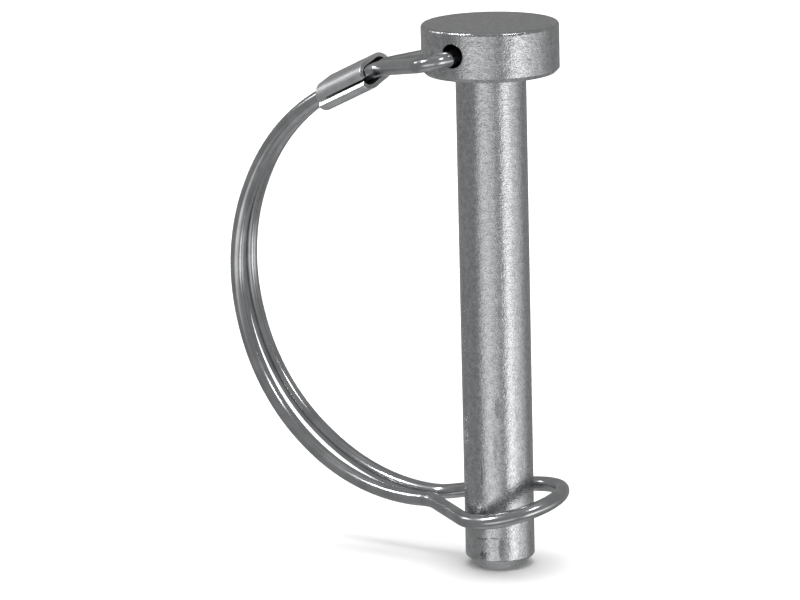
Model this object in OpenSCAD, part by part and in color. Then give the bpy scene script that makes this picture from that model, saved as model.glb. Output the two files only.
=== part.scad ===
// A turned pin with a head, and a sprung wire bow that hinges in the head and loops round the foot.
// The origin is the centre of the foot's flat end, +Z runs up the pin and the bow lies toward -X.

/* [Pin] */
// Diameter of the shank
shank_d = 12; // [11:0.1:13]
// Length of the shank, from the foot to the underside of the head
shank_l = 86.3; // [82:0.1:92]
// Diameter of the head
head_d = 23.4; // [21.6:0.1:24]
// Thickness of the head
head_t = 8.5; // [7:0.1:10]
// Width of the chamfer on the head's lower rim
head_chamfer = 0.7; // [0.4:0.05:1.5]
// Radius of the rounded edge on the head's top rim
head_edge = 0.6; // [0.3:0.05:1]
// Width of the 45 degree chamfer round the foot
foot_chamfer = 1.8; // [0.5:0.1:3]
// Radius of the fillet between shank and head
neck_fillet = 0.4; // [0.2:0.05:0.8]
// Diameter of the cross hole that the wire ends sit in
cross_hole_d = 4; // [3.6:0.1:4.6]
// Distance from the head's top down to the cross hole's middle
hole_drop = 4.05; // [3.5:0.05:5]

/* [Wire] */
// Diameter of the spring wire
wire_d = 2.6; // [2.2:0.1:2.8]
// Distance from the pin's axis out to the middle of the wire at the bow's widest
bow_reach = 53.6; // [50:0.2:57]
// Height of the bow's lowest point over the foot
bow_z = 10; // [9:0.1:12]
// Distance from the cross hole's middle down to the top of the bow's circle
bow_drop = 6.45; // [5:0.05:8]
// Angle by which the strand toward -Y lies lower than the other
bow_lean = 7; // [0:0.5:10]
// Gap between the two strands where they lie side by side
strand_gap = 0.1; // [0.05:0.05:0.4]
// How far each strand springs outward toward the bow's lower end
strand_spread = 1.35; // [0:0.05:1.8]
// Gap between each wire end's seat and the wall of the cross hole
seat_gap = 0.2; // [0.1:0.05:0.4]
// Direction in which the spring draws the wire ends within the hole, from +X in the XZ plane
seat_angle = 236; // [200:1:260]
// Distance between the two wire ends inside the head
end_gap = 6; // [3:0.5:10]
// Gap between the head's side and the bends that turn the wire into the cross hole
ear_gap = 1; // [0.6:0.1:2.5]
// Radius of those bends, at the middle of the wire
ear_r = 3; // [2.6:0.1:3.4]
// Radius of the bends where the strands part in front of the sleeve
fork_r = 5; // [4:0.5:6]
// Distance of those bends' corners from the sleeve
fork_out = 0.45; // [0.3:0.05:1.5]

/* [Eyelet] */
// Gap between the shank and the eyelet's two sides
eyelet_gap = 1.05; // [0.95:0.05:1.5]
// Distance that the eyelet's round end is centred beyond the pin's axis
eyelet_offset = 1.9; // [1.4:0.1:3]
// Angle by which the eyelet rises away from the bow
eyelet_rise = 6; // [2:0.5:8]
// How far the bends at the eyelet's two sides lie below its plane
eyelet_dip = 1; // [0:0.1:1.4]
// Radius of the bends where the two strands part to pass the shank
neck_r = 5.5; // [4:0.5:6]
// Distance of those bends' corners from the shank's side
neck_out = 6.9; // [6:0.1:9]
// How far each strand stands outward at those corners
neck_spread = 0.5; // [0.2:0.05:0.8]

/* [Sleeve] */
// Length of the folded sleeve
sleeve_l = 10.6; // [9:0.1:13]
// Distance of the sleeve from the head's side
sleeve_out = 11.1; // [9:0.1:13]
// Thickness of its sheet
sheet_t = 0.8; // [0.6:0.05:1]
// Gap between the sheet and the wires
sheet_gap = 0.3; // [0.2:0.05:0.4]
// Step by which the lower flap stands out over the upper one at the seam
lap_step = 0.35; // [0.2:0.05:0.5]
// Width of the slit at the seam
seam_slit = 0.15; // [0.1:0.05:0.3]

/* [Hidden] */
$fn = 96;
shank_r = shank_d / 2;
head_r = head_d / 2;
head_top = shank_l + head_t;
hole_r = cross_hole_d / 2;
wire_r = wire_d / 2;
cut_over = 1;
edge_step = 15;
// A bend's steps are this long at most, and turn the wire by this much at most
step_length = 3.6;
step_turn = 12;
wire_sides = 16;
// The sweep starts this far inside the straight ends, drawn in a little to lie within them
end_lap = 0.6;
end_draw = 0.98;
// Bends are this much tighter than their round outlines, which leaves a short run between them
bow_slack = 1;
eyelet_slack = 0.2;
neck_slack = 0.05;
shortest_rod = 0.001;
bow_bends = 4;
// Each of the eyelet's bends: its share of the tangent angle, and 1 where it lies below the plane
eyelet_bends = [[-0.75, 1], [-0.25, 0], [0.25, 0], [0.75, 1]];

// The hinge line, along Y through the cross hole
hole_z = head_top - hole_drop;
seat_shift = hole_r - wire_r - seat_gap;
pivot_x = seat_shift * cos(seat_angle);
pivot_z = hole_z + seat_shift * sin(seat_angle);

// The bow's circle reaches from near the foot up to near the cross hole
bow_r = (hole_z - bow_drop - bow_z) / 2;
bow_x = bow_r - bow_reach;
bow_centre = [bow_x, 0, bow_z + bow_r];
strand_y = (wire_d + strand_gap) / 2;
bow_across = [0, cos(bow_lean), sin(bow_lean)];

// The sleeve lies on the circle's tangent, and ends at its distance from the head
sleeve_past = head_r + sleeve_out + bow_x;
sleeve_rise = atan2(sleeve_l, bow_r) + asin(sleeve_past / norm([bow_r, sleeve_l]));
bow_start = 90 + sleeve_rise;
sleeve_foot = bow_centre + bow_r * heading(bow_start);

// The strands part at the fork, and the ears turn into the cross hole
fork = sleeve_foot + (sleeve_l + fork_out) * heading(sleeve_rise);
ear_out = head_r + ear_gap + wire_r;
leg_angle = atan2(ear_out + ear_r - strand_y, -fork[0]);
ear_corner = ear_out + ear_r * tan((90 + leg_angle) / 2) - wire_r;

// The neck, where the strands turn outward to pass the shank at the eyelet's gap
neck_x = shank_r + neck_out;
neck_y = strand_y + neck_spread;
pass_r = shank_r + eyelet_gap + wire_r;
neck_turn = asin(pass_r / norm([neck_x, neck_y])) - atan2(neck_y, neck_x);
neck_run = neck_r * tan(neck_turn / 2) + neck_slack;
neck_far = norm([bow_r, neck_run]);
neck_at = 270 + asin((-neck_x - bow_x) / neck_far);
neck = bow_centre + neck_far * heading(neck_at);
bow_end = neck_at - atan2(neck_run, bow_r);
bow_step = (bow_end - bow_start) / bow_bends;
bow_corner = bow_r / cos(bow_step / 2);

// The eyelet, worked out in its own plane with the neck as its origin
eyelet_along = heading(eyelet_rise);
eyelet_across = leant(eyelet_rise);
eyelet_x = neck_x / cos(eyelet_rise) + eyelet_offset;
eyelet_r = pass_r + eyelet_offset * sin(neck_turn);
tangent_angle = 90 + neck_turn;
eyelet_corner = eyelet_r / cos(tangent_angle / len(eyelet_bends));

// The whole wire's corners, from one end in the head to the other, and the bend radius at each
corners = concat(strand(-1), eyelet(), reversed(strand(1)));
strand_radii = concat([0, ear_r, fork_r], [for (k = [1:bow_bends]) bow_r - bow_slack], [neck_r]);
eyelet_radii = [for (b = eyelet_bends) eyelet_r - eyelet_slack];
radii = concat(strand_radii, eyelet_radii, reversed(strand_radii));

// All stations from one ear to the other, with the sideways direction at each
stations = [for (i = [1:len(corners) - 2]) for (s = bend_stations(i)) s];
last = len(stations) - 1;
sides = [for (i = 0, n = [1, 0, 0]; i <= last; i = i + 1, n = i <= last ? carried(n, stations[i][1]) : n) n];
mouth_draw = (1 + end_draw) / 2;
rings = concat(
    [ring(0, -end_lap, end_draw)],
    [for (i = [0:last]) ring(i, 0, i == 0 || i == last ? mouth_draw : 1)],
    [ring(last, end_lap, end_draw)]
);

// Direction in the bow's plane at an angle from +X
function heading(angle) = [cos(angle), 0, sin(angle)];

// Sideways direction across a run that rises by an angle, leaning as the bow does
function leant(rise) = cos(bow_lean) * [0, 1, 0] + sin(bow_lean) * heading(rise + 90);

function reversed(list) = [for (i = [len(list) - 1:-1:0]) list[i]];
function unit(v) = v / norm(v);

// One strand's corners from its end in the head to the neck: side is -1 or 1
function strand(side) = concat(
    [
        [pivot_x, side * end_gap / 2, pivot_z],
        [pivot_x, side * ear_corner, pivot_z],
        fork + side * strand_y * leant(sleeve_rise)
    ],
    [for (k = [0:bow_bends - 1]) bow_bend(side, k)],
    [neck + side * neck_y * eyelet_across]
);

// Corner k of the bow's tangent outline, moved sideways
function bow_bend(side, k) =
    bow_centre + bow_corner * heading(bow_start + (k + 0.5) * bow_step)
        + side * (strand_y + strand_spread * k / (bow_bends - 1)) * bow_across;

// Corners of the tangent outline round the eyelet's end
function eyelet() = [
    for (b = eyelet_bends)
        neck + (eyelet_x + eyelet_corner * cos(b[0] * tangent_angle)) * eyelet_along
            + eyelet_corner * sin(b[0] * tangent_angle) * eyelet_across
            - b[1] * eyelet_dip * cross(eyelet_along, eyelet_across)
];

// Direction of each run, turn at each corner and the length that its bend takes from each run
function run_dir(i) = unit(corners[i + 1] - corners[i]);
function turn(i) = acos(min(1, run_dir(i - 1) * run_dir(i)));
function trim(i) = radii[i] == 0 ? 0 : radii[i] * tan(turn(i) / 2);

// Length of the straight run after corner i
function rod_length(i) = norm(corners[i + 1] - corners[i]) - trim(i) - trim(i + 1);

// Number of steps in the bend at corner i
function bend_steps(i) = ceil(max(turn(i) / step_turn, turn(i) * PI / 180 * radii[i] / step_length));

// Stations along the bend at corner i, each a point and the wire's direction there
function bend_stations(i) =
    let (start_dir = run_dir(i - 1))
    let (inward = unit(run_dir(i) - (run_dir(i) * start_dir) * start_dir))
    let (centre = corners[i] - trim(i) * start_dir + radii[i] * inward)
    let (steps = bend_steps(i))
    let (first = rod_length(i - 1) > shortest_rod ? 0 : 1)
    [
        for (k = [first:steps])
            let (a = turn(i) * k / steps)
            [
                centre + radii[i] * (sin(a) * start_dir - cos(a) * inward),
                cos(a) * start_dir + sin(a) * inward
            ]
    ];

// Sideways direction at a station, carried along so that the rings don't twist
function carried(n, dir) = unit(n - (n * dir) * dir);

// Ring of points round the wire at a station, moved along it and drawn in as asked
function ring(i, shift, draw) = [
    for (k = [0:wire_sides - 1])
        let (a = 360 * k / wire_sides)
        let (up = cross(stations[i][1], sides[i]))
        stations[i][0] + shift * stations[i][1] + draw * wire_r * (cos(a) * sides[i] + sin(a) * up)
];

module pin() {
    color("#8f9296")
    difference() {
        rotate_extrude()
            pin_section();
        translate([0, 0, hole_z])
            rotate([90, 0, 0])
                cylinder(h = head_d + 2 * cut_over, d = cross_hole_d, center = true);
    }
}

// Half section of the turned pin, with the fillet under its head
module pin_section() {
    difference() {
        polygon(concat(
            [
                [0, 0],
                [shank_r - foot_chamfer, 0],
                [shank_r, foot_chamfer],
                [shank_r, shank_l - neck_fillet],
                [shank_r + neck_fillet, shank_l],
                [head_r - head_chamfer, shank_l],
                [head_r, shank_l + head_chamfer]
            ],
            [
                for (a = [0:edge_step:90])
                    [head_r - head_edge * (1 - cos(a)), head_top - head_edge * (1 - sin(a))]
            ],
            [[0, head_top]]
        ));
        translate([shank_r + neck_fillet, shank_l - neck_fillet])
            circle(r = neck_fillet);
    }
}

module wire_bow() {
    color("#a6a8ab") {
        straight_end(0, 1);
        straight_end(len(corners) - 1, len(corners) - 2);
        swept_wire();
    }
}

// Straight end that turns in the cross hole, from corner a toward corner b
module straight_end(a, b) {
    length = norm(corners[b] - corners[a]) - trim(b);
    dir = unit(corners[b] - corners[a]);
    translate(corners[a])
        rotate([0, acos(dir[2]), atan2(dir[1], dir[0])])
            cylinder(h = length, r = wire_r);
}

// The sprung wire's bends and the runs between them, as one closed tube
module swept_wire() {
    count = len(rings);
    points = [for (r = rings) for (p = r) p];
    walls = [
        for (i = [0:count - 2])
            for (k = [0:wire_sides - 1])
                let (a = i * wire_sides + k)
                let (b = i * wire_sides + (k + 1) % wire_sides)
                for (t = [[a, a + wire_sides, b], [b, a + wire_sides, b + wire_sides]]) t
    ];
    start_cap = [for (k = [0:wire_sides - 1]) k];
    end_cap = [for (k = [0:wire_sides - 1]) count * wire_sides - 1 - k];
    polyhedron(points, concat(walls, [start_cap, end_cap]));
}

module sleeve() {
    color("#85888c")
    translate(sleeve_foot)
        rotate([0, 90 - sleeve_rise, 0])
            rotate([0, 0, 90 + bow_lean])
                linear_extrude(sleeve_l)
                    sleeve_section();
}

// Section of the folded sheet: X runs across the two wires and Y through the sheet's flat sides
module sleeve_section() {
    inner_r = wire_r + sheet_gap;
    outer_r = inner_r + sheet_t;
    difference() {
        union() {
            two_wire_outline(outer_r);
            intersection() {
                translate([-strand_y - lap_step, -lap_step / 2])
                    circle(r = outer_r);
                translate([-strand_y - 2 * outer_r, -2 * outer_r])
                    square([2 * outer_r + strand_y, 2 * outer_r + seam_slit]);
            }
        }
        two_wire_outline(inner_r);
        translate([-strand_y - 2 * outer_r, seam_slit])
            square([2 * outer_r, seam_slit]);
    }
}

// Outline that follows both wires at a distance r from their middles
module two_wire_outline(r) {
    square([2 * strand_y, 2 * r], center = true);
    for (side = [-1, 1])
        translate([side * strand_y, 0])
            circle(r = r);
}

pin();
wire_bow();
sleeve();
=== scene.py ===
"""Dresses a tiller pin: a turned, cross-drilled pin, its sprung wire bow and the sleeve folded round the wires.

The origin is the centre of the foot's flat end, +Z runs up the pin, the bow's hinge line lies along Y
and the bow lies toward -X. Shapes are worked out in millimetres and put into the meshes in metres.
"""

import logging
from dataclasses import dataclass, field
from enum import Enum
from functools import cached_property

import bmesh
import bpy
import numpy as np
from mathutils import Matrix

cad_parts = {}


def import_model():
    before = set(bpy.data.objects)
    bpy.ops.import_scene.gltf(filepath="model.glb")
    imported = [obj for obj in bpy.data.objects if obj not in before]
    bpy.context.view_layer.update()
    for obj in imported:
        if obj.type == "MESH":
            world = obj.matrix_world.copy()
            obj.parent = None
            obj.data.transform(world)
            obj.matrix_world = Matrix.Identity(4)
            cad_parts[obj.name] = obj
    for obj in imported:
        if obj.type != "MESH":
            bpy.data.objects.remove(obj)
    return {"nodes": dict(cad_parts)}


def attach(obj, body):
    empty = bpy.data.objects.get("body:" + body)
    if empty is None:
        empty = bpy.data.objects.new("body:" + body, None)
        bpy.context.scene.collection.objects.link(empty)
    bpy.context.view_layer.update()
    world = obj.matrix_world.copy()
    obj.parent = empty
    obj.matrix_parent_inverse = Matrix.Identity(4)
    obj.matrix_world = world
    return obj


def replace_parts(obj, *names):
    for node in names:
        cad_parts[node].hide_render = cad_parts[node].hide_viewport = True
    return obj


MM = 0.001
LOG = logging.getLogger("tiller_pin")
Array = np.ndarray


class Slot(Enum):
    """The record's material slots."""

    PIN = "pin"
    WIRE = "wire"
    SLEEVE = "sleeve"


class Body(Enum):
    """The CAD bodies that the pieces ride on."""

    PIN = "pin"
    BOW = "bow"


def unit(v: Array) -> Array:
    """Vectors scaled to length 1 along the last axis."""
    v = np.asarray(v, float)
    return v / np.linalg.norm(v, axis=-1, keepdims=True)


def smooth_step(x: Array, start: float, end: float) -> Array:
    """Rises from 0 at start to 1 at end as 3t^2 - 2t^3, and stays flat outside."""
    t = np.clip((np.asarray(x, float) - start) / (end - start), 0, 1)
    return t * t * (3 - 2 * t)


def grid_quads(rows: int, columns: int, wrap: bool) -> Array:
    """Corner numbers of the quads of a grid whose points are numbered row by row.

    Args:
        rows: Number of rows of points.
        columns: Number of points in a row.
        wrap: Whether the last column joins the first.

    Returns:
        One row of four point numbers for each quad.
    """
    last = columns if wrap else columns - 1
    i, j = np.meshgrid(np.arange(rows - 1), np.arange(last), indexing="ij")
    k = (j + 1) % columns
    quads = np.stack([i * columns + j, i * columns + k, (i + 1) * columns + k, (i + 1) * columns + j], -1)
    return quads.reshape(-1, 4)


def rounded_outline(corners: Array, radii: Array, steps: int, support: float) -> Array:
    """Rounds the inner corners of an open outline with tangent arcs.

    At each corner the arc starts and ends at radius x tan(half the turn) from it. A support point
    on each straight, just outside the arc, keeps the flat beside it flat when it is shaded.

    Args:
        corners: Points of the outline, two numbers each.
        radii: Radius at each corner. 0 keeps the point as it is.
        steps: Number of steps in each arc.
        support: Distance of the support points from the arcs.

    Returns:
        The rounded outline's points.
    """
    pieces = [corners[:1]]
    for before, corner, after, radius in zip(corners[:-2], corners[1:-1], corners[2:], radii[1:-1]):
        arrive, leave = unit(corner - before), unit(after - corner)
        turn = np.arccos(np.clip(arrive @ leave, -1, 1))
        trim = radius * np.tan(turn / 2)
        inward = unit(leave - (leave @ arrive) * arrive)
        centre = corner - trim * arrive + radius * inward
        a = np.linspace(0, turn, steps + 1)[:, None]
        arc = centre + radius * (np.sin(a) * arrive - np.cos(a) * inward)
        pieces += [arc[:1] - support * arrive, arc, arc[-1:] + support * leave]
    return np.concatenate(pieces + [corners[-1:]])


def add_object(name: str, data: bpy.types.ID) -> bpy.types.Object:
    """Puts a mesh, light or camera into the scene as an object at the origin.

    Args:
        name: Name of the object.
        data: The mesh, light or camera.

    Returns:
        The object.
    """
    made = bpy.data.objects.new(name, data)
    bpy.context.scene.collection.objects.link(made)
    return made


def aim_object(target: bpy.types.Object, right: Array, up: Array, back: Array, place: Array) -> None:
    """Places a light or camera by its own three directions.

    Args:
        target: The light or camera, which looks against back.
        right: Its own X direction.
        up: Its own Y direction.
        back: Its own Z direction.
        place: Its place in metres.
    """
    matrix = np.eye(4)
    matrix[:3] = np.stack([right, up, back, place], axis=1)
    target.matrix_world = matrix.T.tolist()


def connect(socket: bpy.types.NodeSocket, value: object) -> None:
    """Links a node's input to another node's output, or sets the input's constant.

    Args:
        socket: The input.
        value: The other node's output, or the constant.
    """
    if isinstance(value, bpy.types.NodeSocket):
        socket.id_data.links.new(value, socket)
    else:
        socket.default_value = value


def mend_mesh(mesh: bpy.types.Mesh, weld: float = 0, sliver: float = 0) -> None:
    """Merges points that lie together and turns every face outwards.

    Args:
        mesh: The mesh.
        weld: Distance in millimetres under which points are merged, or 0 for none.
        sliver: Length in millimetres under which edges are dissolved, or 0 for none.
    """
    work = bmesh.new()
    work.from_mesh(mesh)
    if weld:
        bmesh.ops.remove_doubles(work, verts=work.verts, dist=weld * MM)
    if sliver:
        bmesh.ops.dissolve_degenerate(work, edges=work.edges, dist=sliver * MM)
    bmesh.ops.recalc_face_normals(work, faces=work.faces)
    work.to_mesh(mesh)
    work.free()


def name_points(mesh: bpy.types.Mesh, name: str, values: Array) -> None:
    """Gives each point of a mesh three numbers that a material can read.

    Args:
        mesh: The mesh.
        name: Name of the attribute.
        values: Three numbers for each point, in millimetres, which are kept in metres.
    """
    layer = mesh.attributes.new(name, "FLOAT_VECTOR", "POINT")
    layer.data.foreach_set("vector", (values * MM).ravel())


def new_piece(name: str, points: Array, faces: Array, finish: bpy.types.Material,
              body: Body) -> bpy.types.Object:
    """Makes one piece of the object from points in millimetres and lets it ride on a body.

    Args:
        name: Name of the piece.
        points: Points in millimetres, three numbers each.
        faces: Point numbers, one row for each face.
        finish: The piece's material.
        body: The CAD body that the piece rides on.

    Returns:
        The new object, at the origin, with smooth faces.
    """
    mesh = bpy.data.meshes.new(name)
    mesh.from_pydata((np.asarray(points) * MM).tolist(), [], [list(f) for f in np.asarray(faces).tolist()])
    mesh.shade_smooth()
    mesh.materials.append(finish)
    piece = add_object(name, mesh)
    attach(piece, body.value)
    return piece


def heading(angle: float) -> Array:
    """Direction in the bow's plane at an angle from +X."""
    return np.array([np.cos(angle), 0, np.sin(angle)])


@dataclass(frozen=True)
class Sizes:
    """The part's own sizes in millimetres, with angles in radians, named as in its source."""

    shank_r: float = 6
    shank_l: float = 86.3
    head_r: float = 11.7
    head_t: float = 8.5
    head_chamfer: float = 0.7
    head_edge: float = 0.6
    foot_chamfer: float = 1.8
    neck_fillet: float = 0.4
    hole_r: float = 2
    hole_drop: float = 4.05
    wire_r: float = 1.3
    bow_reach: float = 53.6
    bow_z: float = 10
    bow_drop: float = 6.45
    bow_lean: float = np.radians(7)
    strand_gap: float = 0.1
    strand_spread: float = 1.35
    seat_gap: float = 0.2
    seat_angle: float = np.radians(236)
    end_gap: float = 6
    ear_gap: float = 1
    ear_r: float = 3
    fork_r: float = 5
    fork_out: float = 0.45
    eyelet_gap: float = 1.05
    eyelet_offset: float = 1.9
    eyelet_rise: float = np.radians(6)
    eyelet_dip: float = 1
    neck_r: float = 5.5
    neck_out: float = 6.9
    neck_spread: float = 0.5
    sleeve_l: float = 10.6
    sleeve_out: float = 11.1
    sheet_t: float = 0.8
    sheet_gap: float = 0.3
    seam_slit: float = 0.15
    bow_slack: float = 1
    eyelet_slack: float = 0.2
    neck_slack: float = 0.05

    @property
    def head_top(self) -> float:
        """Height of the head's top."""
        return self.shank_l + self.head_t

    @property
    def hole_z(self) -> float:
        """Height of the cross hole's middle."""
        return self.head_top - self.hole_drop


class Shader:
    """Adds nodes to one material by short calls."""

    def __init__(self, name: str, metallic: float = 0) -> None:
        """Starts a material with a Principled shader and its Object coordinates.

        Args:
            name: Name of the material.
            metallic: 1 for bare metal, 0 for anything else.
        """
        self.material = bpy.data.materials.new(name)
        self.material.use_nodes = True
        self.tree = self.material.node_tree
        self.surface = self.tree.nodes["Principled BSDF"]
        self.surface.inputs["Metallic"].default_value = metallic
        self.place = self.add("TexCoord").outputs["Object"]

    def add(self, kind: str, inputs: dict | None = None, **settings: object) -> bpy.types.Node:
        """Adds a node.

        Args:
            kind: Name of the node's type, without ShaderNode.
            inputs: Constants and sockets for the node's inputs, by name or number.
            settings: The node's own properties.

        Returns:
            The node.
        """
        node = self.tree.nodes.new("ShaderNode" + kind)
        for name, value in settings.items():
            setattr(node, name, value)
        for name, value in (inputs or {}).items():
            connect(node.inputs[name], value)
        return node

    def dress(self, channel: str, value: bpy.types.NodeSocket) -> None:
        """Feeds one of the surface's own inputs from a node."""
        connect(self.surface.inputs[channel], value)

    def math(self, operation: str, *values: object) -> bpy.types.NodeSocket:
        """Result of a Math node on up to three values."""
        return self.add("Math", dict(enumerate(values)), operation=operation).outputs[0]

    def noise(self, scale: float, detail: float = 2, stretch: tuple = (1, 1, 1), place: object = None,
              rough: float = 0.5) -> bpy.types.NodeSocket:
        """Noise over the object, from 0 to 1.

        Args:
            scale: Cells in a metre.
            detail: Number of finer layers.
            stretch: Factor on the coordinates along X, Y and Z.
            place: Coordinates other than the object's own.
            rough: Share of each finer layer.

        Returns:
            The noise's value.
        """
        spot = self.add("Mapping", {"Vector": place or self.place, "Scale": stretch}).outputs[0]
        inputs = {"Vector": spot, "Scale": scale, "Detail": detail, "Roughness": rough}
        return self.add("TexNoise", inputs).outputs[0]

    def spread(self, value: object, low: float, high: float, to_low: float, to_high: float) -> bpy.types.NodeSocket:
        """Value carried from the range low to high over to the range to_low to to_high, and held at its ends."""
        return self.add("MapRange", {0: value, 1: low, 2: high, 3: to_low, 4: to_high}).outputs[0]

    def tint(self, factor: object, dark: object, light: object) -> bpy.types.NodeSocket:
        """Colour between two others.

        Args:
            factor: How far from dark to light, from 0 to 1.
            dark: Colour or output at 0.
            light: Colour or output at 1.

        Returns:
            The mixed colour.
        """
        mix = self.add("Mix", data_type="RGBA")
        connect(mix.inputs[0], factor)
        for number, colour in ((6, dark), (7, light)):
            connect(mix.inputs[number], (*colour, 1) if isinstance(colour, tuple) else colour)
        return mix.outputs[2]

    def bump(self, height: object, depth: float, normal: object = None) -> bpy.types.NodeSocket:
        """Normal tilted by a height from 0 to 1.

        Args:
            height: The height's socket.
            depth: Depth in millimetres that a height of 1 stands for.
            normal: Normal of a bump that this one goes on top of.

        Returns:
            The tilted normal.
        """
        node = self.add("Bump", {"Strength": 1, "Distance": depth * MM, "Height": height})
        if normal is not None:
            connect(node.inputs["Normal"], normal)
        return node.outputs[0]


@dataclass(frozen=True)
class WornSpot:
    """A scuff on the shank: its place round Z in degrees, and its height and half sizes in millimetres."""

    turn: float
    height: float
    half_width: float
    half_height: float
    strength: float


@dataclass(frozen=True)
class TurnedZinc:
    """Turned steel with a zinc plating: fine spangle, turning marks and light scuffs."""

    dark: tuple = (0.48, 0.49, 0.50)
    light: tuple = (0.70, 0.71, 0.72)
    bare: tuple = (0.17, 0.17, 0.17)
    grain_scale: float = 3400
    patch_scale: float = 1000
    cloud_scale: float = 240
    fray_scale: float = 2600
    marks_scale: float = 60
    marks_squeeze: float = 90
    tint_span: tuple = (0.4, 0.6)
    rough_span: tuple = (0.35, 0.65)
    rough: tuple = (0.12, 0.22)
    worn_rough: float = 0.2
    cloud_depth: float = 0.045
    patch_depth: float = 0.06
    grain_depth: float = 0.05
    marks_depth: float = 0.006
    worn_depth: float = -0.02
    fray: float = 1.3
    fray_span: tuple = (0.25, 0.75)
    spot_full: float = 0.4
    spot_gone: float = 1.3
    shank_r: float = Sizes.shank_r
    spots: tuple = (
        WornSpot(-86, 18, 0.14, 3.6, 0.55), WornSpot(-83, 19.5, 0.1, 2.2, 0.35), WornSpot(-88, 5.75, 1.1, 0.13, 0.7),
        WornSpot(-66, 5.95, 0.8, 0.12, 0.6), WornSpot(-86.2, 2.8, 0.6, 0.75, 0.85), WornSpot(-54, 4.4, 0.5, 1.9, 0.6),
        WornSpot(-56, 29, 0.5, 1.5, 0.45), WornSpot(-61, 22, 0.35, 2.6, 0.3),
    )

    def wear(self, s: Shader) -> bpy.types.NodeSocket:
        """How worn the shank is, from 0 to 1: the strongest of its scuffs.

        A scuff is an ellipse on the unrolled shank, e = (across / half_width)^2 + (up / half_height)^2
        plus a noise that frays its edge, full where e is under spot_full and gone over spot_gone.

        Args:
            s: The material that the nodes go into.

        Returns:
            The wear.
        """
        split = s.add("SeparateXYZ", {0: s.place}).outputs
        turn = s.math("ARCTAN2", split[1], split[0])
        fray = s.spread(s.noise(self.fray_scale, 3, rough=0.7), *self.fray_span, -self.fray, self.fray)
        worn = None
        for spot in self.spots:
            across = s.math("MULTIPLY", s.math("SUBTRACT", turn, np.radians(spot.turn)), self.shank_r / spot.half_width)
            up = s.math("MULTIPLY_ADD", split[2], 1 / (MM * spot.half_height), -spot.height / spot.half_height)
            far = s.math("ADD", s.math("MULTIPLY_ADD", across, across, s.math("MULTIPLY", up, up)), fray)
            share = s.spread(far, self.spot_full, self.spot_gone, spot.strength, 0)
            worn = share if worn is None else s.math("MAXIMUM", worn, share)
        return worn

    def material(self) -> bpy.types.Material:
        """Builds the material, whose spangle is half patch and half grain.

        Returns:
            The material.
        """
        s = Shader("turned_zinc", metallic=1)
        grain = s.noise(self.grain_scale, 2, rough=0.7)
        patch = s.noise(self.patch_scale, 3, rough=0.65)
        cloud = s.noise(self.cloud_scale, 2)
        marks = s.noise(self.marks_scale, 2, stretch=(1, 1, self.marks_squeeze))
        mixed = s.math("MULTIPLY_ADD", patch, 0.5, s.math("MULTIPLY", grain, 0.5))
        worn = self.wear(s)
        plated = s.tint(s.spread(mixed, *self.tint_span, 0, 1), self.dark, self.light)
        s.dress("Base Color", s.tint(worn, plated, self.bare))
        rough = s.spread(mixed, *self.rough_span, *self.rough)
        s.dress("Roughness", s.math("MULTIPLY_ADD", worn, self.worn_rough, rough))
        normal = None
        for height, depth in ((cloud, self.cloud_depth), (patch, self.patch_depth), (grain, self.grain_depth),
                              (marks, self.marks_depth), (worn, self.worn_depth)):
            normal = s.bump(height, depth, normal)
        s.dress("Normal", normal)
        return s.material


@dataclass(frozen=True)
class DrawnWire:
    """Plated spring wire, smooth, with faint streaks along its length."""

    dark: tuple = (0.48, 0.49, 0.50)
    light: tuple = (0.60, 0.61, 0.62)
    streak_scale: float = 2600
    streak_stretch: float = 0.03
    cloud_scale: float = 260
    streak_span: tuple = (0.3, 0.7)
    cloud_span: tuple = (0.35, 0.65)
    rough: tuple = (0.16, 0.24)
    streak_depth: float = 0.004
    cloud_depth: float = 0.02

    def material(self) -> bpy.types.Material:
        """Builds the material, whose streaks follow the straightened wire.

        Returns:
            The material.
        """
        s = Shader("drawn_wire", metallic=1)
        straight = s.add("Attribute", attribute_name="straight_wire").outputs["Vector"]
        streaks = s.noise(self.streak_scale, 2, stretch=(1, 1, self.streak_stretch), place=straight)
        cloud = s.noise(self.cloud_scale, 2)
        s.dress("Base Color", s.tint(s.spread(cloud, *self.cloud_span, 0, 1), self.dark, self.light))
        s.dress("Roughness", s.spread(streaks, *self.streak_span, *self.rough))
        s.dress("Normal", s.bump(streaks, self.streak_depth, s.bump(cloud, self.cloud_depth)))
        return s.material


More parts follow.
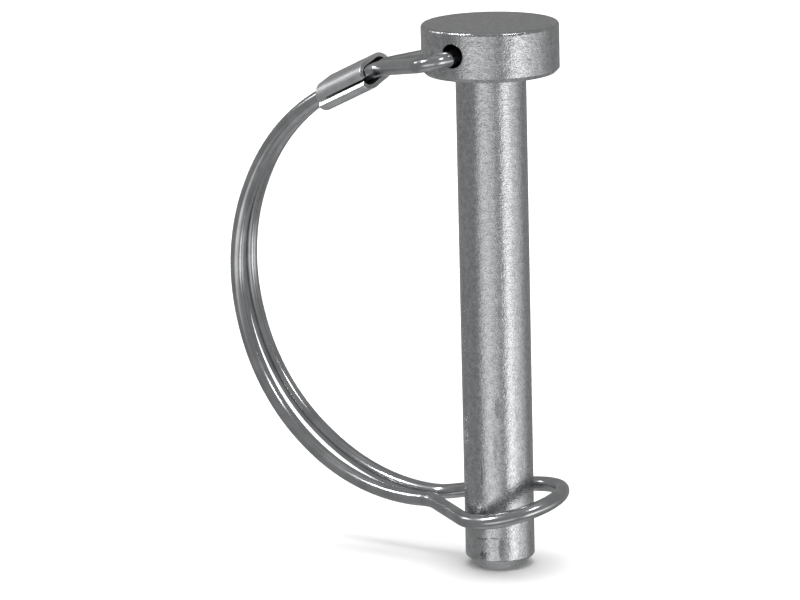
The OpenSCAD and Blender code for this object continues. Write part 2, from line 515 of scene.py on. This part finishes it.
@dataclass(frozen=True)
class SatinSheet:
    """Plated sheet with a satin grain along the sleeve."""

    dark: tuple = (0.60, 0.61, 0.62)
    light: tuple = (0.72, 0.73, 0.74)
    edge: tuple = (0.86, 0.87, 0.88)
    grain_scale: float = 1500
    grain_stretch: float = 0.12
    cloud_scale: float = 420
    grain_span: tuple = (0.3, 0.7)
    cloud_span: tuple = (0.35, 0.65)
    cut_from: float = 0.7
    rough: tuple = (0.36, 0.48)
    edge_polish: float = 0.55
    grain_depth: float = 0.008
    cloud_depth: float = 0.02

    def material(self) -> bpy.types.Material:
        """Builds the material, whose grain follows the flat strip and whose cut edges are polished.

        Returns:
            The material.
        """
        s = Shader("satin_sheet", metallic=1)
        flat = s.add("Attribute", attribute_name="flat_strip").outputs["Vector"]
        grain = s.noise(self.grain_scale, 3, stretch=(1, self.grain_stretch, 1), place=flat)
        cloud = s.noise(self.cloud_scale, 2)
        cut = s.spread(s.add("SeparateXYZ", {0: flat}).outputs[2], self.cut_from * MM, MM, 0, 1)
        satin = s.tint(s.spread(cloud, *self.cloud_span, 0, 1), self.dark, self.light)
        s.dress("Base Color", s.tint(cut, satin, self.edge))
        rough = s.spread(grain, *self.grain_span, *self.rough)
        s.dress("Roughness", s.math("MULTIPLY", rough, s.math("MULTIPLY_ADD", cut, -self.edge_polish, 1)))
        s.dress("Normal", s.bump(grain, self.grain_depth, s.bump(cloud, self.cloud_depth)))
        return s.material


@dataclass
class TurnedPin:
    """The head and shank turned from one bar, with the cross hole drilled through the head."""

    sizes: Sizes
    segments: int = 288
    patch: float = 2.55
    patch_columns: int = 24
    open_share: float = 0.75
    rim_round: float = 0.14
    band_margin: float = 0.6
    arc_steps: int = 6
    support: float = 0.06
    foot_rounds: tuple = (0.15, 0.35)
    head_rounds: tuple = (0.15, 0.2)
    rim_steps: int = 4
    bore_depths: tuple = (0.2, 0.6, 3)
    weld: float = 0.004
    sliver: float = 0.0004
    tolerance: float = 1e-9

    def shank_profile(self) -> Array:
        """The turned outline from the foot's middle up to the lower edge of the head's side.

        Returns:
            Radius and height of each point.
        """
        s = self.sizes
        rim = s.shank_l + s.head_chamfer
        corners = np.array([
            [0, 0], [s.shank_r - s.foot_chamfer, 0], [s.shank_r, s.foot_chamfer], [s.shank_r, s.shank_l],
            [s.head_r - s.head_chamfer, s.shank_l], [s.head_r, rim], [s.head_r, rim + self.band_margin],
        ])
        radii = np.array([0, *self.foot_rounds, s.neck_fillet, *self.head_rounds, 0])
        return rounded_outline(corners, radii, self.arc_steps, self.support)[:-1]

    def top_profile(self) -> Array:
        """The turned outline from the upper edge of the head's side to the middle of its top.

        Returns:
            Radius and height of each point.
        """
        s = self.sizes
        corners = np.array([
            [s.head_r, s.head_top - s.head_edge - self.band_margin], [s.head_r, s.head_top], [0, s.head_top],
        ])
        return rounded_outline(corners, np.array([0, s.head_edge, 0]), self.arc_steps, self.support)[1:]

    def turn(self, profile: Array) -> tuple[Array, Array]:
        """Turns a profile round Z: x = r cos(a), y = r sin(a), z = z.

        Args:
            profile: Radius and height of each point.

        Returns:
            Points and quads.
        """
        a = np.arange(self.segments) * 2 * np.pi / self.segments
        r, z = profile[:, :1], profile[:, 1:]
        points = np.stack([r * np.cos(a), r * np.sin(a), np.broadcast_to(z, (len(z), len(a)))], -1)
        return points.reshape(-1, 3), grid_quads(len(profile), self.segments, True)

    def side_band(self, low: float, high: float) -> tuple[Array, Array]:
        """The head's side between two heights, as a turned grid with both mouths of the hole left open.

        Within the patch round each mouth the grid's squares are drawn toward circles: a point on the
        square of half width c moves along its own ray onto a circle near the mouth, and stays on the
        square at the patch's edge.

        Args:
            low: Height of the band's lower edge.
            high: Height of the band's upper edge.

        Returns:
            Points and quads, the quads over the mouths left out.
        """
        head_r, hole_z, patch = self.sizes.head_r, self.sizes.hole_z, self.patch
        half_angle = np.arcsin(patch / head_r)
        rest = (self.segments - 2 * self.patch_columns) // 2
        patch_a = np.arcsin(np.linspace(-patch, patch, self.patch_columns + 1) / head_r)
        rest_a = np.linspace(half_angle, np.pi - half_angle, rest + 1)
        a = np.concatenate([patch_a[:-1], rest_a[:-1], patch_a[:-1] + np.pi, rest_a[:-1] + np.pi])
        rows = np.concatenate([[low], np.linspace(hole_z - patch, hole_z + patch, self.patch_columns + 1), [high]])
        angle, z = np.meshgrid(a, rows)
        x = head_r * np.sin(angle)
        near = np.where(np.cos(angle) > 0, -1.0, 1.0)
        u, v = x / patch, (z - hole_z) / patch
        square, ray = np.maximum(np.abs(u), np.abs(v)), np.hypot(u, v)
        inside = (square < 1 - self.tolerance) & (square > 0)
        beyond = (square - self.open_share) / (1 - self.open_share)
        mouth = (self.sizes.hole_r + self.rim_round) / patch
        wish = mouth + beyond * (1 - mouth)
        share = np.clip(beyond, 0, 1)
        factor = wish * ((1 - share) / np.where(ray > 0, ray, 1) + share / np.where(square > 0, square, 1))
        x = np.where(inside, u * factor * patch, x)
        z = np.where(inside, hole_z + v * factor * patch, z)
        y = near * np.sqrt(np.maximum(head_r**2 - x**2, 0))
        quads = grid_quads(len(rows), len(a), True)
        closed = square.reshape(-1)[quads].max(1) <= self.open_share + self.tolerance
        return np.stack([x, y, z], -1).reshape(-1, 3), quads[~closed]

    def bore(self) -> tuple[Array, Array]:
        """The cross hole's wall, from a rounded rim on one side of the head to the other.

        A ring at radius q round the hole's middle line starts on the head's side, at
        y = sqrt(head_r^2 - x^2) less the depth. On the rim, q falls from hole_r + rim_round to
        hole_r as a quarter of a circle while the depth grows from 0 to rim_round. The ring's points
        lie on the rays of the side band's own grid round the mouth.

        Returns:
            Points and quads.
        """
        s = self.sizes
        edge = np.linspace(-1, 1, int(round(self.patch_columns * self.open_share)) + 1)[:-1]
        ones = np.ones(len(edge))
        around = np.arctan2(np.concatenate([-ones, edge, ones, -edge]), np.concatenate([edge, ones, -edge, -ones]))
        a = np.linspace(0, np.pi / 2, self.rim_steps + 1)
        q = np.concatenate([s.hole_r + self.rim_round * (1 - np.sin(a)), [s.hole_r] * len(self.bore_depths)])
        depth = np.concatenate([self.rim_round * (1 - np.cos(a)), self.bore_depths])
        x = q[:, None] * np.cos(around)
        z = s.hole_z + q[:, None] * np.sin(around)
        y = np.sqrt(s.head_r**2 - x**2) - depth[:, None]
        rings = np.concatenate([np.stack([x, -y, z], -1), np.stack([x, y, z], -1)[::-1]])
        return rings.reshape(-1, 3), grid_quads(len(rings), len(around), True)

    def build(self, finish: bpy.types.Material) -> bpy.types.Object:
        """Makes the pin in place of its CAD node.

        Args:
            finish: The piece's material.

        Returns:
            The piece.
        """
        lower, upper = self.shank_profile(), self.top_profile()
        parts = [self.turn(lower), self.side_band(lower[-1, 1], upper[0, 1]), self.bore(), self.turn(upper)]
        starts = np.cumsum([0] + [len(points) for points, _ in parts[:-1]])
        points = np.concatenate([points for points, _ in parts])
        faces = np.concatenate([quads + start for (_, quads), start in zip(parts, starts)])
        piece = new_piece("turned_pin", points, faces, finish, Body.PIN)
        mend_mesh(piece.data, self.weld, self.sliver)
        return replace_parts(piece, "pin")


@dataclass
class WireBow:
    """The sprung wire, from one end in the cross hole round the bow and eyelet to the other."""

    sizes: Sizes
    bow_bends: int = 4
    eyelet_bends: tuple = ((-0.75, 1), (-0.25, 0), (0.25, 0), (0.75, 1))
    sides: int = 32
    bend_step: float = np.radians(5)
    bend_length: float = 1.2
    least_step: float = 0.01
    end_round: float = 0.25
    end_steps: int = 4
    weld: float = 0.001

    @cached_property
    def strand_y(self) -> float:
        """Distance of each strand from the bow's plane where they lie side by side."""
        return self.sizes.wire_r + self.sizes.strand_gap / 2

    @cached_property
    def pivot(self) -> Array:
        """Middle of the hinge line."""
        s = self.sizes
        return np.array([0, 0, s.hole_z]) + (s.hole_r - s.wire_r - s.seat_gap) * heading(s.seat_angle)

    @cached_property
    def bow_r(self) -> float:
        """Radius of the bow's circle."""
        return (self.sizes.hole_z - self.sizes.bow_drop - self.sizes.bow_z) / 2

    @cached_property
    def bow_centre(self) -> Array:
        """Centre of the bow's circle."""
        return np.array([self.bow_r - self.sizes.bow_reach, 0, self.sizes.bow_z + self.bow_r])

    @cached_property
    def sleeve_rise(self) -> float:
        """Angle by which the sleeve rises toward the head, along the circle's tangent."""
        s = self.sizes
        past = s.head_r + s.sleeve_out + self.bow_centre[0]
        return np.arctan2(s.sleeve_l, self.bow_r) + np.arcsin(past / np.hypot(self.bow_r, s.sleeve_l))

    @cached_property
    def sleeve_foot(self) -> Array:
        """Where the sleeve's lower end lies, in the bow's plane."""
        return self.bow_centre + self.bow_r * heading(np.pi / 2 + self.sleeve_rise)

    def leant(self, rise: float) -> Array:
        """Sideways direction across a run that rises by an angle, leaning as the bow does."""
        lean = self.sizes.bow_lean
        return np.cos(lean) * np.array([0, 1, 0]) + np.sin(lean) * heading(rise + np.pi / 2)

    @cached_property
    def route(self) -> tuple[Array, Array]:
        """The whole wire's route, worked out as in the part's source.

        Returns:
            The corners, and the bend radius at each, which is 0 at both ends.
        """
        s = self.sizes
        fork = self.sleeve_foot + (s.sleeve_l + s.fork_out) * heading(self.sleeve_rise)
        ear_out = s.head_r + s.ear_gap + s.wire_r
        leg_angle = np.arctan2(ear_out + s.ear_r - self.strand_y, -fork[0])
        ear_corner = ear_out + s.ear_r * np.tan((np.pi / 2 + leg_angle) / 2) - s.wire_r

        neck_x, neck_y = s.shank_r + s.neck_out, self.strand_y + s.neck_spread
        pass_r = s.shank_r + s.eyelet_gap + s.wire_r
        neck_turn = np.arcsin(pass_r / np.hypot(neck_x, neck_y)) - np.arctan2(neck_y, neck_x)
        neck_run = s.neck_r * np.tan(neck_turn / 2) + s.neck_slack
        neck_far = np.hypot(self.bow_r, neck_run)
        neck_at = 3 * np.pi / 2 + np.arcsin((-neck_x - self.bow_centre[0]) / neck_far)
        neck = self.bow_centre + neck_far * heading(neck_at)
        bow_start, bow_end = np.pi / 2 + self.sleeve_rise, neck_at - np.arctan2(neck_run, self.bow_r)
        step = (bow_end - bow_start) / self.bow_bends
        bow_corner = self.bow_r / np.cos(step / 2)

        along, across = heading(s.eyelet_rise), self.leant(s.eyelet_rise)
        eyelet_x = neck_x / np.cos(s.eyelet_rise) + s.eyelet_offset
        eyelet_r = pass_r + s.eyelet_offset * np.sin(neck_turn)
        tangent = np.pi / 2 + neck_turn
        eyelet_corner = eyelet_r / np.cos(tangent / len(self.eyelet_bends))
        bow_across = np.array([0, np.cos(s.bow_lean), np.sin(s.bow_lean)])

        def strand(side: int) -> list[Array]:
            """Corners of one strand, from its end in the head to the neck.

            Args:
                side: -1 for the strand toward -Y, or 1.

            Returns:
                The corners.
            """
            tip = self.pivot + [0, side * s.end_gap / 2, 0]
            ear = self.pivot + [0, side * ear_corner, 0]
            bends = [
                self.bow_centre + bow_corner * heading(bow_start + (k + 0.5) * step)
                + side * (self.strand_y + s.strand_spread * k / (self.bow_bends - 1)) * bow_across
                for k in range(self.bow_bends)
            ]
            return [tip, ear, fork + side * self.strand_y * self.leant(self.sleeve_rise), *bends,
                    neck + side * neck_y * across]

        eyelet = [
            neck + (eyelet_x + eyelet_corner * np.cos(share * tangent)) * along
            + eyelet_corner * np.sin(share * tangent) * across - low * s.eyelet_dip * np.cross(along, across)
            for share, low in self.eyelet_bends
        ]
        half = [0, s.ear_r, s.fork_r] + [self.bow_r - s.bow_slack] * self.bow_bends + [s.neck_r]
        radii = half + [eyelet_r - s.eyelet_slack] * len(self.eyelet_bends) + half[::-1]
        return np.array(strand(-1) + eyelet + strand(1)[::-1]), np.array(radii)

    def stations(self) -> tuple[Array, Array]:
        """The wire's middle line, with its bends as short steps on arcs.

        Returns:
            The points, and the wire's direction at each.
        """
        corners, radii = self.route
        dirs = unit(np.diff(corners, axis=0))
        points, ways = [corners[:1]], [dirs[:1]]
        for corner, radius, arrive, leave in zip(corners[1:-1], radii[1:-1], dirs[:-1], dirs[1:]):
            turn = np.arccos(np.clip(arrive @ leave, -1, 1))
            inward = unit(leave - (leave @ arrive) * arrive)
            count = int(np.ceil(max(turn / self.bend_step, turn * radius / self.bend_length)))
            a = np.linspace(0, turn, count + 1)[:, None]
            centre = corner - radius * np.tan(turn / 2) * arrive + radius * inward
            points.append(centre + radius * (np.sin(a) * arrive - np.cos(a) * inward))
            ways.append(np.cos(a) * arrive + np.sin(a) * inward)
        points, ways = np.concatenate(points + [corners[-1:]]), np.concatenate(ways + [dirs[-1:]])
        keep = np.r_[True, np.linalg.norm(np.diff(points, axis=0), axis=1) > self.least_step]
        return points[keep], ways[keep]

    def tube(self) -> tuple[Array, Array, Array]:
        """The wire as rings carried along its middle line.

        Ring i has the points p + r (cos(a) side + sin(a) up), where side is carried along without
        twist. The rings at each end shrink as a quarter of a circle and close in its middle.

        Returns:
            Points, faces and the straightened wire's coordinates of each point.
        """
        points, ways = self.stations()
        side, carried = np.array([1.0, 0, 0]), []
        for way in ways:
            side = unit(side - (side @ way) * way)
            carried.append(side)
        a = np.linspace(np.pi / 2, 0, self.end_steps + 1)
        back = np.r_[0, self.end_round * (1 - np.sin(a))]
        cap_r = np.r_[0, self.sizes.wire_r - self.end_round * (1 - np.cos(a))]
        caps = len(back)
        index = np.r_[[0] * caps, np.arange(1, len(points) - 1), [len(points) - 1] * caps]
        shift = np.r_[back, np.zeros(len(points) - 2), -back[::-1]]
        radii = np.r_[cap_r, np.full(len(points) - 2, self.sizes.wire_r), cap_r[::-1]]
        ways, carried = ways[index], np.array(carried)[index]
        points = points[index] + shift[:, None] * ways
        angle = np.arange(self.sides) * 2 * np.pi / self.sides
        cos, sin = np.cos(angle)[None, :, None], np.sin(angle)[None, :, None]
        outward = cos * carried[:, None] + sin * np.cross(ways, carried)[:, None]
        rings = points[:, None] + radii[:, None, None] * outward
        length = np.r_[0, np.cumsum(np.linalg.norm(np.diff(points, axis=0), axis=1))]
        straight = np.stack([
            radii[:, None] * np.cos(angle), radii[:, None] * np.sin(angle),
            np.broadcast_to(length[:, None], (len(points), self.sides)),
        ], -1)
        return rings.reshape(-1, 3), grid_quads(len(points), self.sides, True), straight.reshape(-1, 3)

    def build(self, finish: bpy.types.Material) -> bpy.types.Object:
        """Makes the wire in place of its CAD node.

        Args:
            finish: The piece's material.

        Returns:
            The piece.
        """
        points, faces, straight = self.tube()
        piece = new_piece("spring_wire", points, faces, finish, Body.BOW)
        name_points(piece.data, "straight_wire", straight)
        mend_mesh(piece.data, self.weld)
        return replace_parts(piece, "wire_bow")


@dataclass
class FoldedSleeve:
    """The strip of sheet folded round both wires, its seam along the side toward -Y.

    Within its gap it sits askew on the wires, by lean_more round their run and skew along it, and it is
    moved along the run by slide, so that its far wall ends before the wires part in the fork.
    """

    bow: WireBow
    lean_more: float = np.radians(9)
    skew: float = 0.25
    slide: float = -1.0
    flap_step: float = 0.55
    flap_drop: float = 0.3
    flap_from: float = 1.6
    flap_to: float = 0.35
    around: int = 120
    lengthwise: int = 16
    edge_slope: float = 0.5
    edge_round: float = 0.1
    edge_angle: float = np.radians(40)
    edge_steps: int = 3
    tolerance: float = 1e-6

    @cached_property
    def knots(self) -> Array:
        """Distances along the sheet's middle line, from the seam, at which the turns and flats end."""
        sizes = self.bow.sizes
        quarter = np.pi / 2 * (sizes.wire_r + sizes.sheet_gap + sizes.sheet_t / 2)
        flat = 2 * self.bow.strand_y
        return np.cumsum([quarter, flat, 2 * quarter, flat, quarter])

    def wrapped(self, s: Array, offset: float) -> Array:
        """Points (across, up) at a distance s along the sheet and an offset outward from its middle.

        The sheet runs from the seam's upper edge over the top, round the far wire, back beneath and
        up to the seam's lower edge: c(s) + (r + offset) n(s), with n turning round each wire's middle
        c and staying put along the flats. The last part of the turn moves outward by flap_step.

        Args:
            s: Distances along the sheet in millimetres.
            offset: Offset from the sheet's middle in millimetres, positive outward.

        Returns:
            Two numbers for each distance, across and up.
        """
        sizes, y, k = self.bow.sizes, self.bow.strand_y, self.knots
        r = sizes.wire_r + sizes.sheet_gap + sizes.sheet_t / 2
        pick = [s < k[0], s < k[1], s < k[2], s < k[3]]
        angle = np.select(pick, [np.pi - s / r, np.full_like(s, np.pi / 2), np.pi / 2 - (s - k[1]) / r,
                                 np.full_like(s, -np.pi / 2)], -np.pi / 2 - (s - k[3]) / r)
        middle = np.select(pick, [np.full_like(s, -y), s - k[0] - y, np.full_like(s, y), y - (s - k[2])], -y)
        lift = self.flap_step * smooth_step(s, k[4] - self.flap_from * k[0], k[4] - self.flap_to * k[0])
        across = middle + (r + offset) * np.cos(angle) - lift
        return np.stack([across, (r + offset) * np.sin(angle) - self.flap_drop * lift], -1)

    def build(self, finish: bpy.types.Material) -> bpy.types.Object:
        """Makes the sleeve in place of its CAD node, as an outer and an inner face joined all round.

        Args:
            finish: The piece's material.

        Returns:
            The piece.
        """
        sizes, rise = self.bow.sizes, self.bow.sleeve_rise
        slit, total = sizes.seam_slit / 2, self.knots[-1] - sizes.seam_slit / 2
        outer_s = np.linspace(slit, total - self.edge_slope, self.around + 1)
        inner_s = np.linspace(slit, total, self.around + 1)
        outline = np.concatenate([
            self.wrapped(outer_s, sizes.sheet_t / 2), self.wrapped(inner_s, -sizes.sheet_t / 2)[::-1],
        ])
        level, tall = self.bow.leant(rise), np.cross(heading(rise), self.bow.leant(rise))
        across = np.cos(self.lean_more) * level + np.sin(self.lean_more) * tall
        up = np.cross(heading(rise), across)
        ring = outline[:, :1] * (across + self.skew * heading(rise)) + outline[:, 1:] * up
        steps = np.linspace(0, sizes.sleeve_l, self.lengthwise + 1)
        points = self.bow.sleeve_foot + ring[None] + (steps + self.slide)[:, None, None] * heading(rise)
        i = np.arange(self.around)
        cap = np.stack([i, i + 1, len(outline) - 2 - i, len(outline) - 1 - i], -1)
        walls = grid_quads(len(steps), len(outline), True)
        faces = np.concatenate([walls, cap, cap[:, ::-1] + self.lengthwise * len(outline)])
        piece = new_piece("folded_sleeve", points.reshape(-1, 3), faces, finish, Body.BOW)
        along_sheet = np.concatenate([outer_s, inner_s[::-1]])
        strip_s, strip_l = np.meshgrid(along_sheet, steps)
        cut = strip_s >= outer_s[-1] - self.tolerance
        cut |= (strip_l <= 0) | (strip_l >= sizes.sleeve_l - self.tolerance)
        name_points(piece.data, "flat_strip", np.stack([strip_s, strip_l, cut], -1))
        mend_mesh(piece.data)
        rounding = piece.modifiers.new("edges", "BEVEL")
        rounding.width, rounding.segments, rounding.limit_method = self.edge_round * MM, self.edge_steps, "ANGLE"
        rounding.angle_limit = self.edge_angle
        rounding.harden_normals = True
        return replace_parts(piece, "sleeve")


@dataclass(frozen=True)
class PhotoCamera:
    """The camera that the photograph was solved for, with its offsets in its own axes in millimetres."""

    azimuth: float = np.radians(35)
    elevation: float = 0.2284
    roll: float = -0.0253
    focal_pixels: float = 4140.8264
    image_width: float = 800
    sensor: float = 36
    aim_height: float = 47.398
    offset: tuple = (16.283, -0.688, 708.489)
    clip: tuple = (0.01, 20)

    def build(self) -> bpy.types.Object:
        """Makes the scene's camera: its place is the aim less the offset turned back out of its axes.

        Returns:
            The camera.
        """
        ca, sa = np.cos(self.azimuth), np.sin(self.azimuth)
        ce, se = np.cos(self.elevation), np.sin(self.elevation)
        cr, sr = np.cos(self.roll), np.sin(self.roll)
        right, ahead = np.array([ca, sa, 0]), np.array([-sa * ce, ca * ce, -se])
        turned = np.array([[cr, -sr, 0], [sr, cr, 0], [0, 0, 1]]) @ np.stack([right, np.cross(ahead, right), ahead])
        place = (np.array([0, 0, self.aim_height]) - turned.T @ np.array(self.offset)) * MM
        data = bpy.data.cameras.new("camera")
        data.sensor_width = self.sensor
        data.lens = self.focal_pixels * self.sensor / self.image_width
        data.clip_start, data.clip_end = self.clip
        camera = add_object("camera", data)
        aim_object(camera, turned[0], -turned[1], -turned[2], place)
        bpy.context.scene.camera = camera
        return camera


@dataclass(frozen=True)
class Lamp:
    """A square soft light that the camera doesn't see, in metres and watts.

    A mirrored lamp shows in the metal alone, and any other lights the floor alone.
    """

    name: str
    place: tuple
    aim: tuple
    size: float
    power: float
    mirrored: bool = True
    side_hint: tuple = (0.3, 1, 0.1)

    def build(self) -> bpy.types.Object:
        """Makes the light, facing its aim.

        Returns:
            The light.
        """
        data = bpy.data.lights.new(self.name, "AREA")
        data.size, data.energy = self.size, self.power
        lamp = add_object(self.name, data)
        away = unit(np.array(self.place) - np.array(self.aim))
        side = unit(np.cross(self.side_hint, away))
        aim_object(lamp, side, np.cross(away, side), away, np.array(self.place))
        lamp.visible_camera = False
        lamp.visible_glossy = self.mirrored
        lamp.visible_diffuse = not self.mirrored
        return lamp


@dataclass(frozen=True)
class Studio:
    """A pale floor under soft light, with panels of light round the object near the horizon.

    The panels are grey levels by direction round Z, in degrees from the side away from the camera.
    They fade out below and above the heights given, which are sines of the elevation, as are those
    between which the light overhead and the light below come up.
    """

    floor_size: float = 12
    floor_grey: float = 0.9
    front: float = np.radians(-55)
    around: float = 0.27
    panel_low: tuple = (-0.56, -0.36)
    panel_high: tuple = (-0.19, -0.02)
    overhead: tuple = (0.93, 0.975)
    overhead_level: float = 0.15
    below: tuple = (-0.8, -0.95)
    below_level: float = 0.18
    bands: tuple = (
        (0, 0.30), (118, 0.25), (127, 0.38), (138, 1.05), (158, 1.18), (166, 0.86), (183, 0.88), (190, 0.36),
        (206, 0.28), (214, 1.80), (234, 1.85), (242, 1.0), (262, 0.88), (280, 0.46), (296, 0.27), (360, 0.27),
    )
    lamps: tuple = (
        Lamp("top_light", (-0.15, 0.25, 1.6), (-0.15, 0.25, 0), 2.4, 58, mirrored=False),
        Lamp("key_light", (-0.55, -0.75, 0.95), (-0.02, 0, 0.05), 0.22, 5),
        Lamp("side_light", (-0.974, -0.339, 0.538), (-0.02, 0, 0.06), 0.2, 0.6),
        Lamp("fill_light", (0.8, -0.2, 0.9), (-0.02, 0, 0.05), 0.2, 1.8),
    )

    def floor(self) -> bpy.types.Object:
        """Makes the floor, on which the foot's flat end stands.

        Returns:
            The floor.
        """
        half = self.floor_size / 2
        mesh = bpy.data.meshes.new("floor")
        mesh.from_pydata([(-half, -half, 0), (half, -half, 0), (half, half, 0), (-half, half, 0)], [], [(0, 1, 2, 3)])
        s = Shader("pale_floor")
        s.surface.inputs["Base Color"].default_value = (self.floor_grey,) * 3 + (1,)
        s.surface.inputs["Roughness"].default_value = 1
        s.surface.inputs["Specular IOR Level"].default_value = 0
        mesh.materials.append(s.material)
        floor = add_object("floor", mesh)
        floor.visible_glossy = False
        floor.visible_shadow = False
        return floor

    def surroundings(self) -> None:
        """Sets the world: grey all round, the panels near the horizon, and a light overhead and below."""
        world = bpy.data.worlds.new("studio")
        bpy.context.scene.world = world
        world.use_nodes = True
        tree = world.node_tree
        tree.nodes.clear()

        def math(operation: str, *values: object) -> bpy.types.NodeSocket:
            """Result of a Math node.

            Args:
                operation: Name of the operation.
                values: Up to three numbers or outputs.

            Returns:
                The node's output.
            """
            node = tree.nodes.new("ShaderNodeMath")
            node.operation = operation
            for socket, value in zip(node.inputs, values):
                connect(socket, value)
            return node.outputs[0]

        def fade(value: object, low: float, high: float) -> bpy.types.NodeSocket:
            """Smooth rise of a value from 0 to 1.

            Args:
                value: The output that rises.
                low: Where it is still 0.
                high: Where it has reached 1.

            Returns:
                The node's output.
            """
            node = tree.nodes.new("ShaderNodeMapRange")
            node.interpolation_type = "SMOOTHSTEP"
            connect(node.inputs[0], value)
            connect(node.inputs[1], low)
            connect(node.inputs[2], high)
            return node.outputs[0]

        split = tree.nodes.new("ShaderNodeSeparateXYZ")
        connect(split.inputs[0], tree.nodes.new("ShaderNodeTexCoord").outputs["Generated"])
        x, y, z = split.outputs
        turn = math("MULTIPLY_ADD", math("ARCTAN2", y, x), 1 / (2 * np.pi), 1.5 - self.front / (2 * np.pi))
        ramp = tree.nodes.new("ShaderNodeValToRGB")
        connect(ramp.inputs[0], math("FRACT", turn))
        stops = ramp.color_ramp.elements
        while len(stops) < len(self.bands):
            stops.new(0.5)
        for stop, (degrees, level) in zip(stops, self.bands):
            stop.position = degrees / 360
            stop.color = (level, level, level, 1)
        window = math("MULTIPLY", fade(z, *self.panel_low), math("SUBTRACT", 1, fade(z, *self.panel_high)))
        panels = math("MULTIPLY", math("SUBTRACT", ramp.outputs[0], self.around), window)
        top = math("MULTIPLY_ADD", fade(z, *self.overhead), self.overhead_level, self.around)
        low = fade(math("MULTIPLY", z, -1), -self.below[0], -self.below[1])
        top = math("MULTIPLY_ADD", low, self.below_level, top)
        back = tree.nodes.new("ShaderNodeBackground")
        connect(back.inputs["Color"], math("ADD", panels, top))
        connect(tree.nodes.new("ShaderNodeOutputWorld").inputs[0], back.outputs[0])

    def build(self) -> None:
        """Sets up the floor, the surroundings and the lights."""
        bpy.context.scene.view_settings.view_transform = "Standard"
        self.floor()
        self.surroundings()
        for lamp in self.lamps:
            lamp.build()


@dataclass
class TillerPin:
    """The whole object: the pin, the wire bow and the sleeve."""

    sizes: Sizes = field(default_factory=Sizes)

    def build(self) -> list[bpy.types.Object]:
        """Makes and dresses every piece.

        Returns:
            The pieces.
        """
        bow = WireBow(self.sizes)
        return [
            TurnedPin(self.sizes).build(TurnedZinc().material()),
            bow.build(DrawnWire().material()),
            FoldedSleeve(bow).build(SatinSheet().material()),
        ]


def main() -> None:
    logging.basicConfig(level=logging.INFO, format="%(message)s")
    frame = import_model()
    LOG.info("loaded nodes: %s", ", ".join(sorted(frame["nodes"])))
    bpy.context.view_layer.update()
    PhotoCamera().build()
    Studio().build()
    for piece in TillerPin().build():
        LOG.info("%s: %d faces", piece.name, len(piece.data.polygons))
    bpy.context.view_layer.update()


if __name__ == "__main__":
    main()
